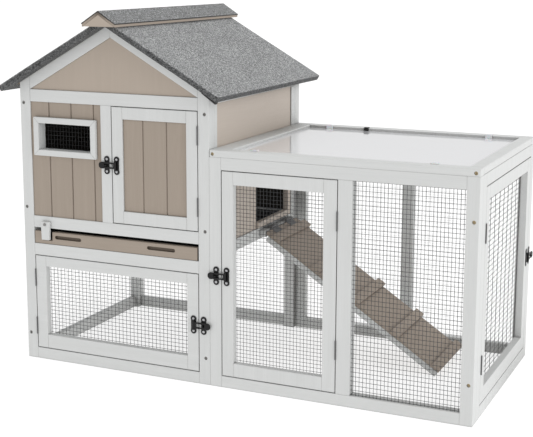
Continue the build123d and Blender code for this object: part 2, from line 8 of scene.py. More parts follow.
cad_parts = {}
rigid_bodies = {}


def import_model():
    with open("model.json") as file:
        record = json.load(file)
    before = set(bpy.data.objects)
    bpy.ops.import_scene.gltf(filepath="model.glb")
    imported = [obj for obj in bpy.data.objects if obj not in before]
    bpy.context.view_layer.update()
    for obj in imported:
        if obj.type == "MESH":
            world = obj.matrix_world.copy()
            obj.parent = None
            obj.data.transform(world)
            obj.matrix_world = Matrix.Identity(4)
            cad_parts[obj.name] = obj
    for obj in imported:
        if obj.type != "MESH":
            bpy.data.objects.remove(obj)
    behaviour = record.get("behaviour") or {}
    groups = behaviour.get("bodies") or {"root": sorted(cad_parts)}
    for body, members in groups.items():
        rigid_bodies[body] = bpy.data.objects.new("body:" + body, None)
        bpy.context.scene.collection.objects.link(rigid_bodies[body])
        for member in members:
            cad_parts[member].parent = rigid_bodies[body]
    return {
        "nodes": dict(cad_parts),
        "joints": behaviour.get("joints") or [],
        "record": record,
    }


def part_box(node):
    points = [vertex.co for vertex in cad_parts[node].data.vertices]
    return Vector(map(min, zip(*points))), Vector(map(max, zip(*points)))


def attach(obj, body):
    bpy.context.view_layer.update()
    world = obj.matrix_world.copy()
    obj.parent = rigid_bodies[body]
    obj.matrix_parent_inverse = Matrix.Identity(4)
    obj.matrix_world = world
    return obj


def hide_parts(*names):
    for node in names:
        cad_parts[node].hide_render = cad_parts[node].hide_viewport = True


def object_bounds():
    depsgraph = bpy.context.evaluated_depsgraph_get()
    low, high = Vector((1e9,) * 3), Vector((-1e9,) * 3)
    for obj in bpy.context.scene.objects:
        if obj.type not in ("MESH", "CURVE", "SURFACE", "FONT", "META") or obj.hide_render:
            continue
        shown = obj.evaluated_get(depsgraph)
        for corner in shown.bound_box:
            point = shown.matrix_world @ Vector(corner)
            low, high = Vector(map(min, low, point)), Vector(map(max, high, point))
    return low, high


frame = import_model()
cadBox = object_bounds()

mm = 0.001
low, high = cadBox
middle = (low + high) / 2
houseLeft = low.x + 43.65 * mm  # the house's left face, inside the eave
joints = {joint["name"]: joint for joint in frame["joints"]}
bodies = frame["record"]["behaviour"]["bodies"]
bodyOf = {node: body for body, nodes in bodies.items() for node in nodes}
slotOf = {part["node"]: part["material_slot"] for part in frame["record"]["subparts"]}

cameraSet = {"place": (1.2316, -2.794, 1.021), "azimuth": 24.16, "elevation": 10.18, "roll": 0.15,
             "lens": 80.3, "shift": -0.072}
lightSet = {"worldStrength": 0.72, "keyPower": 150.0, "keyPlace": (7.6, -1.6, 3.0), "keySize": 4.8,
            "topPower": 34.0, "topPlace": (0.2, 0.4, 4.4), "topSize": 3.0,
            "floorGrey": 0.45, "floorGlow": 0.72}


def buildCamera():
    cameraData = bpy.data.cameras.new("camera")
    cameraData.lens = cameraSet["lens"]
    cameraData.shift_y = cameraSet["shift"]
    cameraData.clip_end = 200.0
    camera = bpy.data.objects.new("camera", cameraData)
    bpy.context.scene.collection.objects.link(camera)
    aim = Matrix.Rotation(math.radians(cameraSet["azimuth"]), 3, "Z")
    tilt = Matrix.Rotation(math.radians(90 - cameraSet["elevation"]), 3, "X")
    roll = Matrix.Rotation(math.radians(cameraSet["roll"]), 3, "Z")
    camera.rotation_euler = (aim @ tilt @ roll).to_euler()
    camera.location = cameraSet["place"]
    bpy.context.scene.camera = camera


def softLamp(name, place, target, size, power):
    lamp = bpy.data.lights.new(name, "AREA")
    lamp.shape = "SQUARE"
    lamp.size = size
    lamp.energy = power
    lampObject = bpy.data.objects.new(name, lamp)
    bpy.context.scene.collection.objects.link(lampObject)
    lampObject.location = place
    lampObject.rotation_euler = (Vector(target) - Vector(place)).to_track_quat("-Z", "Y").to_euler()


def buildLight():
    world = bpy.data.worlds.new("studio")
    world.use_nodes = True
    background = world.node_tree.nodes["Background"]
    background.inputs["Color"].default_value = (1.0, 1.0, 1.0, 1.0)
    background.inputs["Strength"].default_value = lightSet["worldStrength"]
    bpy.context.scene.world = world
    bpy.context.scene.view_settings.view_transform = "Standard"
    for lamp in ("key", "top"):
        place, size, power = (lightSet[lamp + what] for what in ("Place", "Size", "Power"))
        softLamp(lamp + "Lamp", place, middle, size, power)


def buildFloor():
    deselectAll()
    bpy.ops.mesh.primitive_plane_add(size=160.0, location=(0, 0, low.z))
    floor = bpy.context.active_object
    floor.name = "floor"
    material, _, shader = newMaterial("floorPaper")
    grey = lightSet["floorGrey"]
    shader.inputs["Base Color"].default_value = (grey, grey, grey, 1)
    shader.inputs["Emission Color"].default_value = (1, 1, 1, 1)
    shader.inputs["Emission Strength"].default_value = lightSet["floorGlow"]
    shader.inputs["Roughness"].default_value = 0.9
    shader.inputs["Specular IOR Level"].default_value = 0.1
    floor.data.materials.append(material)


def deselectAll():
    for thing in list(bpy.context.selected_objects):
        thing.select_set(False)


def pick(piece):
    deselectAll()
    piece.select_set(True)
    bpy.context.view_layer.objects.active = piece


def editMode():
    bpy.ops.object.mode_set(mode="EDIT")


def objectMode():
    bpy.ops.object.mode_set(mode="OBJECT")


def clearSelection(piece):
    for items in (piece.data.vertices, piece.data.edges, piece.data.polygons):
        for item in items:
            item.select = False


def selectFaces(piece, test):
    # called in object mode: keeps only the faces that pass the test selected
    clearSelection(piece)
    for face in piece.data.polygons:
        face.select = bool(test(face))


def applyAll(piece):
    # modifiers applied in order, then the object's own place and size
    pick(piece)
    for modifier in list(piece.modifiers):
        bpy.ops.object.modifier_apply(modifier=modifier.name)
    bpy.ops.object.transform_apply(location=True, rotation=True, scale=True)


def addBox(place, size, turn=0.0):
    # a plain block to start from, turned about its own upright axis
    deselectAll()
    bpy.ops.mesh.primitive_cube_add(size=1.0, location=place)
    block = bpy.context.active_object
    block.scale = size
    block.rotation_euler = (0, 0, turn)
    bpy.ops.object.transform_apply(location=True, rotation=True, scale=True)
    return block


def roundEdges(piece, width, steps, angle):
    rounding = piece.modifiers.new("rounding", "BEVEL")
    rounding.width = width
    rounding.segments = steps
    rounding.limit_method = "ANGLE"
    rounding.angle_limit = math.radians(angle)
    rounding.use_clamp_overlap = True


def paintNode(node, material):
    # a CAD part that keeps its own mesh gets its finish here
    frame["nodes"][node].data.materials.clear()
    frame["nodes"][node].data.materials.append(material)


def joinPieces(pieces, name):
    deselectAll()
    for piece in pieces:
        piece.select_set(True)
    bpy.context.view_layer.objects.active = pieces[0]
    if len(pieces) > 1:
        bpy.ops.object.join()
    joined = bpy.context.active_object
    joined.name = name
    joined.data.name = name
    return joined


def copyOf(piece, shift):
    # a copy with its own mesh, moved by shift
    double = piece.copy()
    double.data = piece.data.copy()
    double.data.transform(Matrix.Translation(shift))
    bpy.context.scene.collection.objects.link(double)
    return double


def finish(piece, name, body, material, replaces=(), smooth=None):
    applyAll(piece)
    piece.name = name
    piece.data.name = name
    piece.data.materials.clear()
    piece.data.materials.append(material)
    if smooth:
        pick(piece)
        bpy.ops.object.shade_smooth_by_angle(angle=math.radians(smooth))
        flats = piece.modifiers.new("flats", "WEIGHTED_NORMAL")  # keeps big faces flat beside their bevels
        flats.keep_sharp = True
        bpy.ops.object.modifier_apply(modifier="flats")
    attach(piece, body)
    if replaces:
        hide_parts(*replaces)
    return piece


def copyNode(node):
    # a welded copy of a CAD node, with its flat faces made whole
    pick(frame["nodes"][node])
    bpy.ops.object.duplicate()
    piece = bpy.context.active_object
    for key in [key for key in piece.keys() if key.startswith("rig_")]:
        del piece[key]
    piece.parent = None
    editMode()
    bpy.ops.mesh.select_all(action="SELECT")
    bpy.ops.mesh.remove_doubles(threshold=0.000002)
    bpy.ops.mesh.dissolve_limited(angle_limit=math.radians(1.0))
    objectMode()
    bpy.ops.mesh.customdata_custom_splitnormals_clear()
    return piece


def camelCase(node):
    words = node.split("_")
    return words[0] + "".join(word.capitalize() for word in words[1:])


def addNode(tree, kind, **values):
    node = tree.nodes.new("ShaderNode" + kind)
    for key, value in values.items():
        setattr(node, key, value)
    return node


def newMaterial(name):
    material = bpy.data.materials.new(name)
    material.use_nodes = True
    tree = material.node_tree
    return material, tree, tree.nodes["Principled BSDF"]


def newGroup(name, inputs, outputs):
    group = bpy.data.node_groups.new(name, "ShaderNodeTree")
    for label, kind, value in inputs:
        socket = group.interface.new_socket(label, in_out="INPUT", socket_type="NodeSocket" + kind)
        if value is not None:
            socket.default_value = value
    for label, kind in outputs:
        group.interface.new_socket(label, in_out="OUTPUT", socket_type="NodeSocket" + kind)
    return group, group.nodes.new("NodeGroupInput"), group.nodes.new("NodeGroupOutput")


def placeGroup(tree, group, **values):
    node = tree.nodes.new("ShaderNodeGroup")
    node.node_tree = group
    for label, value in values.items():
        node.inputs[label].default_value = value
    return node


def mathNode(tree, operation, first, second=None, clamp=False):
    node = addNode(tree, "Math", operation=operation, use_clamp=clamp)
    for index, value in enumerate((first, second)):
        if value is None:
            continue
        if isinstance(value, bpy.types.NodeSocket):
            tree.links.new(value, node.inputs[index])
        else:
            node.inputs[index].default_value = value
    return node.outputs[0]


def rampNode(tree, factor, stops):
    # stops are (position, grey value or colour)
    node = addNode(tree, "ValToRGB")
    ramp = node.color_ramp
    while len(ramp.elements) < len(stops):
        ramp.elements.new(0.5)
    for element, (position, value) in zip(ramp.elements, stops):
        element.position = position
        colour = (value, value, value) if isinstance(value, (int, float)) else value
        element.color = (*colour, 1.0)
    tree.links.new(factor, node.inputs["Fac"])
    return node.outputs["Color"]


def mixColour(tree, factor, first, second, blend="MIX"):
    node = addNode(tree, "Mix", data_type="RGBA", blend_type=blend)
    for index, value in ((0, factor), (6, first), (7, second)):
        if isinstance(value, bpy.types.NodeSocket):
            tree.links.new(value, node.inputs[index])
        elif isinstance(value, (int, float)):
            node.inputs[index].default_value = value
        else:
            node.inputs[index].default_value = (*value, 1.0)
    return node.outputs[2]


def stretched(tree, vector, scale):
    node = addNode(tree, "Mapping")
    node.inputs["Scale"].default_value = scale
    tree.links.new(vector, node.inputs["Vector"])
    return node.outputs["Vector"]


def noiseNode(tree, vector, scale, detail=2.0, roughness=0.5):
    node = addNode(tree, "TexNoise")
    node.inputs["Scale"].default_value = scale
    node.inputs["Detail"].default_value = detail
    node.inputs["Roughness"].default_value = roughness
    tree.links.new(vector, node.inputs["Vector"])
    return node.outputs["Fac"]


def buildGrainGroup():
    # wood grain along the first coordinate of the vector that it is given, in metres
    group, ins, outs = newGroup(
        "woodGrain",
        [("Along stick", "Vector", None), ("Figure size", "Float", 1.0), ("Knot size", "Float", 1.0)],
        [("Figure", "Float"), ("Fibre", "Float"), ("Knots", "Float"), ("Height", "Float")])
    sized = addNode(group, "VectorMath", operation="SCALE")
    group.links.new(ins.outputs["Along stick"], sized.inputs[0])
    group.links.new(ins.outputs["Figure size"], sized.inputs["Scale"])
    warp = addNode(group, "TexNoise")
    warp.inputs["Scale"].default_value = 5.0
    group.links.new(sized.outputs[0], warp.inputs["Vector"])
    warpSmall = addNode(group, "VectorMath", operation="MULTIPLY_ADD")
    warpSmall.inputs[1].default_value = (0.0, 0.016, 0.016)
    group.links.new(warp.outputs["Color"], warpSmall.inputs[0])
    group.links.new(sized.outputs[0], warpSmall.inputs[2])
    wandering = warpSmall.outputs[0]
    figure = noiseNode(group, stretched(group, wandering, (1.6, 46.0, 46.0)), 1.5, 3.0, 0.55)
    fibre = noiseNode(group, stretched(group, wandering, (9.0, 620.0, 620.0)), 1.0, 2.0, 0.6)
    knot = addNode(group, "TexVoronoi", feature="F1")
    knot.inputs["Scale"].default_value = 3.1
    knot.inputs["Randomness"].default_value = 1.0
    group.links.new(stretched(group, ins.outputs["Along stick"], (1.0, 3.2, 3.2)), knot.inputs["Vector"])
    knotReach = mathNode(group, "MULTIPLY", ins.outputs["Knot size"], 0.055)
    knotEdge = mathNode(group, "DIVIDE", knot.outputs["Distance"], knotReach)
    knots = mathNode(group, "SUBTRACT", 1.0, knotEdge, clamp=True)
    height = mathNode(group, "MULTIPLY_ADD", figure, 0.6)
    group.links.new(mathNode(group, "MULTIPLY", fibre, 0.4), height.node.inputs[2])
    group.links.new(rampNode(group, figure, [(0.3, 0.0), (0.7, 1.0)]), outs.inputs["Figure"])
    group.links.new(rampNode(group, fibre, [(0.32, 0.0), (0.68, 1.0)]), outs.inputs["Fibre"])
    group.links.new(knots, outs.inputs["Knots"])
    group.links.new(height, outs.inputs["Height"])
    return group


def buildEdgeGroup():
    # a mask that is 1 on worn corners, broken up by noise
    group, ins, outs = newGroup(
        "edgeWear", [("Reach", "Float", 0.0015), ("Breakup scale", "Float", 60.0)], [("Mask", "Float")])
    rounded = addNode(group, "Bevel", samples=4)
    group.links.new(ins.outputs["Reach"], rounded.inputs["Radius"])
    geometry = addNode(group, "NewGeometry")
    facing = addNode(group, "VectorMath", operation="DOT_PRODUCT")
    group.links.new(rounded.outputs["Normal"], facing.inputs[0])
    group.links.new(geometry.outputs["Normal"], facing.inputs[1])
    edge = mathNode(group, "SUBTRACT", 1.0, facing.outputs["Value"], clamp=True)
    strong = mathNode(group, "MULTIPLY", edge, 5.0, clamp=True)
    place = addNode(group, "TexCoord")
    noise = addNode(group, "TexNoise")
    noise.inputs["Detail"].default_value = 4.0
    group.links.new(place.outputs["Object"], noise.inputs["Vector"])
    group.links.new(ins.outputs["Breakup scale"], noise.inputs["Scale"])
    patches = rampNode(group, noise.outputs["Fac"], [(0.38, 0.0), (0.62, 1.0)])
    group.links.new(mathNode(group, "MULTIPLY", strong, patches), outs.inputs["Mask"])
    return group


def buildCreviceShadeGroup():
    # painted shade: a mask from ambient occlusion that is 1 deep in joints and corners
    group, ins, outs = newGroup(
        "creviceDirt", [("Reach", "Float", 0.006), ("Power", "Float", 1.5)], [("Mask", "Float")])
    shade = addNode(group, "AmbientOcclusion", samples=4, only_local=False)
    group.links.new(ins.outputs["Reach"], shade.inputs["Distance"])
    dark = mathNode(group, "SUBTRACT", 1.0, shade.outputs["AO"], clamp=True)
    group.links.new(mathNode(group, "POWER", dark, ins.outputs["Power"]), outs.inputs["Mask"])
    return group


def buildDustGroup():
    # faint large patches, for handling marks and settled dust
    group, ins, outs = newGroup(
        "surfaceDust", [("Scale", "Float", 6.0), ("Amount", "Float", 0.5)], [("Mask", "Float")])
    place = addNode(group, "TexCoord")
    noise = addNode(group, "TexNoise")
    noise.inputs["Detail"].default_value = 5.0
    noise.inputs["Roughness"].default_value = 0.62
    group.links.new(place.outputs["Object"], noise.inputs["Vector"])
    group.links.new(ins.outputs["Scale"], noise.inputs["Scale"])
    patches = rampNode(group, noise.outputs["Fac"], [(0.4, 0.0), (0.75, 1.0)])
    group.links.new(mathNode(group, "MULTIPLY", patches, ins.outputs["Amount"]), outs.inputs["Mask"])
    return group


def addBump(tree, shader, height, strength, distance):
    bump = addNode(tree, "Bump")
    bump.inputs["Strength"].default_value = strength
    bump.inputs["Distance"].default_value = distance
    tree.links.new(height, bump.inputs["Height"])
    tree.links.new(bump.outputs["Normal"], shader.inputs["Normal"])


# painted shade: each look's near-black colour is painted into joints and corners, and into the deep parts of
# the run as strongly as its number for deep places says
woodLooks = {
    "whiteWash": {"pale": (0.71, 0.718, 0.712), "deep": (0.59, 0.598, 0.59), "crevice": (0.20, 0.20, 0.19),
                  "worn": (0.66, 0.63, 0.57), "wear": 0.3, "figure": 0.3, "fibre": 0.25, "tone": 0.10,
                  "rough": (0.48, 0.64), "inside": 1.0, "bump": 0.22},
    "taupeStain": {"pale": (0.40, 0.337, 0.28), "deep": (0.32, 0.268, 0.22), "crevice": (0.06, 0.045, 0.035),
                   "worn": (0.50, 0.43, 0.34), "wear": 0.2, "figure": 0.3, "fibre": 0.25, "tone": 0.25,
                   "rough": (0.55, 0.72), "inside": 0.35, "bump": 0.25},
    "gableStain": {"pale": (0.475, 0.405, 0.34), "deep": (0.415, 0.352, 0.294), "crevice": (0.06, 0.045, 0.035),
                   "worn": (0.50, 0.43, 0.34), "wear": 0.2, "figure": 0.25, "fibre": 0.2, "tone": 0.1,
                   "rough": (0.55, 0.72), "inside": 0.2, "bump": 0.2},
    # painted light: a paler copy of the taupe for the side walls, partly a paler panel and partly painted light
    # for their facing the lamp
    "sideStain": {"pale": (0.59, 0.52, 0.455), "deep": (0.53, 0.465, 0.405), "crevice": (0.08, 0.06, 0.045),
                  "worn": (0.56, 0.50, 0.42), "wear": 0.2, "figure": 0.25, "fibre": 0.2, "tone": 0.2,
                  "rough": (0.5, 0.68), "inside": 0.3, "bump": 0.15},
    "bareBoard": {"pale": (0.31, 0.25, 0.175), "deep": (0.22, 0.165, 0.105), "crevice": (0.05, 0.035, 0.02),
                  "worn": (0.4, 0.33, 0.24), "wear": 0.2, "figure": 0.8, "fibre": 0.5, "tone": 0.25,
                  "rough": (0.6, 0.8), "inside": 0.3, "bump": 0.4},
    # painted shade: the bare wood of the finger grips, darkened to near-black brown as painted shade deep in
    # the slots
    "routedGrip": {"pale": (0.17, 0.135, 0.105), "deep": (0.11, 0.085, 0.065), "crevice": (0.02, 0.015, 0.01),
                   "worn": (0.22, 0.18, 0.14), "wear": 0.1, "figure": 0.5, "fibre": 0.5, "tone": 0.1,
                   "rough": (0.6, 0.8), "inside": 0.0, "bump": 0.3},
    # painted shade: near-black wood for the cabin walls' inward faces, standing for the dark within the cabin
    "cabinInside": {"pale": (0.05, 0.041, 0.033), "deep": (0.03, 0.024, 0.019), "crevice": (0.01, 0.008, 0.006),
                    "worn": (0.08, 0.06, 0.05), "wear": 0.1, "figure": 0.7, "fibre": 0.5, "tone": 0.25,
                    "rough": (0.65, 0.85), "inside": 0.0, "bump": 0.3},
}


def sunkShade(tree):
    # painted shade mask: full on what stands deep within the hutch, none at the front or on the back's outer
    # faces
    place, facing = addNode(tree, "SeparateXYZ"), addNode(tree, "SeparateXYZ")
    tree.links.new(addNode(tree, "TexCoord").outputs["Object"], place.inputs[0])
    tree.links.new(addNode(tree, "NewGeometry").outputs["True Normal"], facing.inputs[0])
    depth = mathNode(tree, "MULTIPLY_ADD", place.outputs["Y"], 1.0)
    depth.node.inputs[2].default_value = 0.5
    deep = rampNode(tree, depth, [(0.3, 0.0), (0.6, 1.0)])
    return mathNode(tree, "MULTIPLY", deep, rampNode(tree, facing.outputs["Y"], [(0.3, 1.0), (0.7, 0.0)]))


def woodMaterial(name, look, groove=None):
    # groove gives the first groove and the width of tongue and groove boards, across X
    material, tree, shader = newMaterial(name)
    stick = addNode(tree, "Attribute", attribute_name="stick")
    tone = addNode(tree, "Attribute", attribute_name="tone")
    along = stick.outputs["Vector"]
    toneValue = tone.outputs["Fac"]
    if groove:
        place = addNode(tree, "TexCoord")
        across = addNode(tree, "SeparateXYZ")
        tree.links.new(place.outputs["Object"], across.inputs[0])
        offset = mathNode(tree, "SUBTRACT", across.outputs["X"], groove["first"])
        number = mathNode(tree, "FLOOR", mathNode(tree, "DIVIDE", offset, groove["width"]))
        random1 = addNode(tree, "TexWhiteNoise", noise_dimensions="1D")
        tree.links.new(number, random1.inputs["W"])
        toneValue = random1.outputs["Value"]
        shifted = addNode(tree, "VectorMath", operation="MULTIPLY_ADD")
        shifted.inputs[1].default_value = (4.0, 4.0, 4.0)
        tree.links.new(random1.outputs["Color"], shifted.inputs[0])
        tree.links.new(along, shifted.inputs[2])
        along = shifted.outputs[0]
    grain = placeGroup(tree, groups["grain"])
    tree.links.new(along, grain.inputs["Along stick"])
    base = mixColour(tree, mathNode(tree, "MULTIPLY", grain.outputs["Figure"], look["figure"]),
                     look["pale"], look["deep"])
    fibres = mathNode(tree, "MULTIPLY", grain.outputs["Fibre"], look["fibre"])
    base = mixColour(tree, fibres, base, look["deep"])
    base = mixColour(tree, mathNode(tree, "MULTIPLY", grain.outputs["Knots"], 0.5), base, look["worn"])
    shade = mathNode(tree, "MULTIPLY", toneValue, look["tone"])
    base = mixColour(tree, shade, base, look["deep"])
    edge = placeGroup(tree, groups["edge"], Reach=0.0012)
    bare = mathNode(tree, "MULTIPLY", edge.outputs["Mask"], look["wear"])
    base = mixColour(tree, bare, base, look["worn"])
    # painted shade: ambient occlusion darkens joints and corners
    crevice = placeGroup(tree, groups["crevice"], Reach=0.005, Power=1.6)
    base = mixColour(tree, crevice.outputs["Mask"], base, look["crevice"])
    # painted shade: a wide ambient-occlusion mask, cut back at the front by sunkShade, darkens the deep parts
    # of the run towards the near-black colour
    inside = placeGroup(tree, groups["crevice"], Reach=0.32, Power=1.0)
    roomShadeMask = rampNode(tree, inside.outputs["Mask"], [(0.5, 0.0), (0.68, 1.0)])
    roomShadeMask = mathNode(tree, "MULTIPLY", roomShadeMask, sunkShade(tree))
    base = mixColour(tree, mathNode(tree, "MULTIPLY", roomShadeMask, look["inside"]), base, look["crevice"])
    tree.links.new(base, shader.inputs["Base Color"])
    rough = rampNode(tree, grain.outputs["Fibre"], [(0.0, look["rough"][0]), (1.0, look["rough"][1])])
    tree.links.new(rough, shader.inputs["Roughness"])
    shader.inputs["Specular IOR Level"].default_value = 0.35
    addBump(tree, shader, grain.outputs["Height"], look["bump"], 0.0006)
    return material


feltLook = {"mid": (0.275, 0.28, 0.282), "light": (0.66, 0.67, 0.67), "dark": (0.035, 0.036, 0.038),
            "grain": 620.0}


def feltMaterial(name, weathered):
    # crushed mineral granules pressed into bitumen felt; weathered is how dark its broad patches are
    material, tree, shader = newMaterial(name)
    place = addNode(tree, "TexCoord").outputs["Object"]
    granules = addNode(tree, "TexVoronoi", feature="F1")
    granules.inputs["Scale"].default_value = feltLook["grain"]
    tree.links.new(place, granules.inputs["Vector"])
    kind = addNode(tree, "SeparateColor")
    tree.links.new(granules.outputs["Color"], kind.inputs[0])
    clumps = noiseNode(tree, place, 260.0, 3.0, 0.7)
    mixed = mathNode(tree, "MULTIPLY_ADD", kind.outputs[0], 0.62)
    tree.links.new(mathNode(tree, "MULTIPLY", clumps, 0.62), mixed.node.inputs[2])
    base = rampNode(tree, mixed, [(0.30, feltLook["dark"]), (0.52, feltLook["mid"]),
                                  (0.70, feltLook["mid"]), (0.88, feltLook["light"])])
    broad = rampNode(tree, noiseNode(tree, place, 9.0, 4.0, 0.6), [(0.3, weathered * 0.88), (0.7, weathered)])
    base = mixColour(tree, 1.0, base, broad, "MULTIPLY")
    # painted shade: faces turned sideways or down, the folded lips and undersides, are darkened to about a
    # third
    facing = addNode(tree, "SeparateXYZ")
    tree.links.new(addNode(tree, "NewGeometry").outputs["True Normal"], facing.inputs[0])
    upward = mathNode(tree, "MULTIPLY_ADD", facing.outputs["Z"], 0.5)
    upward.node.inputs[2].default_value = 0.5
    paintedUnderShade = rampNode(tree, upward, [(0.52, 0.34), (0.72, 1.0)])
    base = mixColour(tree, 1.0, base, paintedUnderShade, "MULTIPLY")
    tree.links.new(base, shader.inputs["Base Color"])
    rough = rampNode(tree, kind.outputs[1], [(0.0, 0.62), (1.0, 0.95)])
    tree.links.new(rough, shader.inputs["Roughness"])
    shader.inputs["Specular IOR Level"].default_value = 0.3
    addBump(tree, shader, mathNode(tree, "SUBTRACT", 1.0, granules.outputs["Distance"]), 0.8, 0.0012)
    return material


def bitumenEdge():
    # the black cut edge of the felt
    material, tree, shader = newMaterial("bitumenEdge")
    place = addNode(tree, "TexCoord").outputs["Object"]
    lumps = noiseNode(tree, place, 500.0, 3.0)
    tar = mixColour(tree, lumps, (0.008, 0.008, 0.009), (0.035, 0.034, 0.033))
    tree.links.new(tar, shader.inputs["Base Color"])
    tree.links.new(rampNode(tree, lumps, [(0.3, 0.45), (0.7, 0.75)]), shader.inputs["Roughness"])
    addBump(tree, shader, lumps, 0.5, 0.0005)
    return material


def wireMaterial(name, colour, bright):
    material, tree, shader = newMaterial(name)
    place = addNode(tree, "TexCoord").outputs["Object"]
    mottled = rampNode(tree, noiseNode(tree, place, 140.0, 3.0), [(0.35, 0.0), (0.7, 1.0)])
    tree.links.new(mixColour(tree, mottled, colour, bright), shader.inputs["Base Color"])
    tree.links.new(rampNode(tree, mottled, [(0.0, 0.34), (1.0, 0.55)]), shader.inputs["Roughness"])
    shader.inputs["Specular IOR Level"].default_value = 0.4
    return material


def trayMaterial():
    # galvanised sheet with its crystals, darkened far below bright steel as painted shade for the dark cabin it
    # sits in
    material, tree, shader = newMaterial("galvanisedSheet")
    place = addNode(tree, "TexCoord").outputs["Object"]
    crystal = addNode(tree, "TexVoronoi", feature="F1")
    crystal.inputs["Scale"].default_value = 90.0
    tree.links.new(place, crystal.inputs["Vector"])
    kind = addNode(tree, "SeparateColor")
    tree.links.new(crystal.outputs["Color"], kind.inputs[0])
    tree.links.new(rampNode(tree, kind.outputs[0], [(0, (0.10, 0.10, 0.10)), (1, (0.20, 0.20, 0.20))]),
                   shader.inputs["Base Color"])
    tree.links.new(rampNode(tree, kind.outputs[1], [(0.0, 0.28), (1.0, 0.5)]), shader.inputs["Roughness"])
    shader.inputs["Metallic"].default_value = 0.9
    return material


paintLooks = {
    "blackPaint": {"paint": (0.004, 0.004, 0.0045), "dust": (0.022, 0.022, 0.022),
                   "wear": 0.3, "worn": (0.10, 0.10, 0.095)},
    "hingeSteel": {"paint": (0.13, 0.13, 0.132), "dust": (0.20, 0.20, 0.20),
                   "wear": 0.4, "worn": (0.32, 0.32, 0.31)},
}


def paintedSteel(name, look):
    # thick paint, with worn corners and orange peel
    material, tree, shader = newMaterial(name)
    place = addNode(tree, "TexCoord").outputs["Object"]
    edge = placeGroup(tree, groups["edge"], Reach=0.0007)
    edge.inputs["Breakup scale"].default_value = 300.0
    dust = placeGroup(tree, groups["dust"], Scale=40.0, Amount=0.25)
    base = mixColour(tree, dust.outputs["Mask"], look["paint"], look["dust"])
    base = mixColour(tree, mathNode(tree, "MULTIPLY", edge.outputs["Mask"], look["wear"]), base, look["worn"])
    tree.links.new(base, shader.inputs["Base Color"])
    peel = noiseNode(tree, place, 900.0, 2.0)
    tree.links.new(rampNode(tree, peel, [(0.3, 0.26), (0.7, 0.42)]), shader.inputs["Roughness"])
    shader.inputs["Specular IOR Level"].default_value = 0.3
    addBump(tree, shader, peel, 0.15, 0.0003)
    return material


def screwMaterial(name, colour, dark, lidColour=None):
    # turned steel; lidColour is for the yellow screws on the lid and the run's end posts
    yellowSet = {"lidHeight": 580.4 * mm, "within": 10 * mm, "endPosts": 500 * mm}
    material, tree, shader = newMaterial(name)
    place = addNode(tree, "TexCoord").outputs["Object"]
    if lidColour:
        spot = addNode(tree, "SeparateXYZ")
        tree.links.new(place, spot.inputs[0])
        onLid = mathNode(tree, "COMPARE", spot.outputs["Z"], yellowSet["lidHeight"])
        onLid.node.inputs[2].default_value = yellowSet["within"]
        atEnd = mathNode(tree, "GREATER_THAN", spot.outputs["X"], yellowSet["endPosts"])
        colour = mixColour(tree, mathNode(tree, "MAXIMUM", onLid, atEnd), colour, lidColour)
    brushed = noiseNode(tree, stretched(tree, place, (1.0, 1.0, 9.0)), 420.0, 3.0)
    # painted shade: ambient occlusion darkens the head's recess and rim to near-black
    crevice = placeGroup(tree, groups["crevice"], Reach=0.0015, Power=1.0)
    base = mixColour(tree, rampNode(tree, brushed, [(0.3, 0.0), (0.7, 1.0)]), colour, dark)
    base = mixColour(tree, crevice.outputs["Mask"], base, (0.02, 0.018, 0.015))
    tree.links.new(base, shader.inputs["Base Color"])
    tree.links.new(rampNode(tree, brushed, [(0.3, 0.25), (0.7, 0.45)]), shader.inputs["Roughness"])
    shader.inputs["Metallic"].default_value = 0.8
    return material


def sheetMaterial():
    # milky plastic sheet with a soft gloss and faint extrusion lines from front to back
    material, tree, shader = newMaterial("milkySheet")
    place = addNode(tree, "TexCoord").outputs["Object"]
    drawn = noiseNode(tree, stretched(tree, place, (240.0, 1.5, 1.0)), 1.0, 2.0)
    dust = placeGroup(tree, groups["dust"], Scale=5.0, Amount=0.5)
    base = mixColour(tree, dust.outputs["Mask"], (0.94, 0.945, 0.975), (0.90, 0.905, 0.94))
    base = mixColour(tree, rampNode(tree, drawn, [(0.35, 0.0), (0.7, 0.35)]), base, (0.95, 0.953, 0.98))
    tree.links.new(base, shader.inputs["Base Color"])
    gloss = rampNode(tree, dust.outputs["Mask"], [(0.0, 0.10), (0.6, 0.18)])
    tree.links.new(gloss, shader.inputs["Roughness"])
    shader.inputs["Specular IOR Level"].default_value = 0.6
    shader.inputs["Coat Weight"].default_value = 1.0
    shader.inputs["Coat Roughness"].default_value = 0.05
    shader.inputs["Coat IOR"].default_value = 1.6
    addBump(tree, shader, drawn, 0.05, 0.0004)
    return material


def clipMaterial():
    material, tree, shader = newMaterial("milkyClip")
    place = addNode(tree, "TexCoord").outputs["Object"]
    cloud = noiseNode(tree, place, 120.0, 3.0)
    milk = mixColour(tree, cloud, (0.80, 0.81, 0.83), (0.70, 0.71, 0.74))
    tree.links.new(milk, shader.inputs["Base Color"])
    tree.links.new(rampNode(tree, cloud, [(0.3, 0.2), (0.7, 0.32)]), shader.inputs["Roughness"])
    shader.inputs["Subsurface Weight"].default_value = 0.3
    shader.inputs["Subsurface Scale"].default_value = 0.002
    return material


grainWays = {
    "gable_panels": (0, 0, 1), "front_board_panel": (0, 0, 1), "upper_door_panel": (0, 0, 1),
    "side_panel_left": (0, 0, 1), "back_panel": (0, 0, 1), "ridge_cap_ends": (1, 0, 0),
    "roof_boards": (0, 1, 0), "ridge_cap_boards": (0, 1, 0)}
slopingNodes = ("gable_rakes", "ramp_board", "ramp_rails")


def grainWay(node, corners):
    # the way the grain runs in one stick: its longest side, or its slope
    if node in grainWays:
        return Vector(grainWays[node])
    if node in slopingNodes:
        ways = np.linalg.eigh(np.cov((corners - corners.mean(0)).T))[1]
        return Vector(ways[:, 2])
    size = corners.max(0) - corners.min(0)
    way = Vector((0, 0, 0))
    way[int(np.argmax(size))] = 1.0
    return way


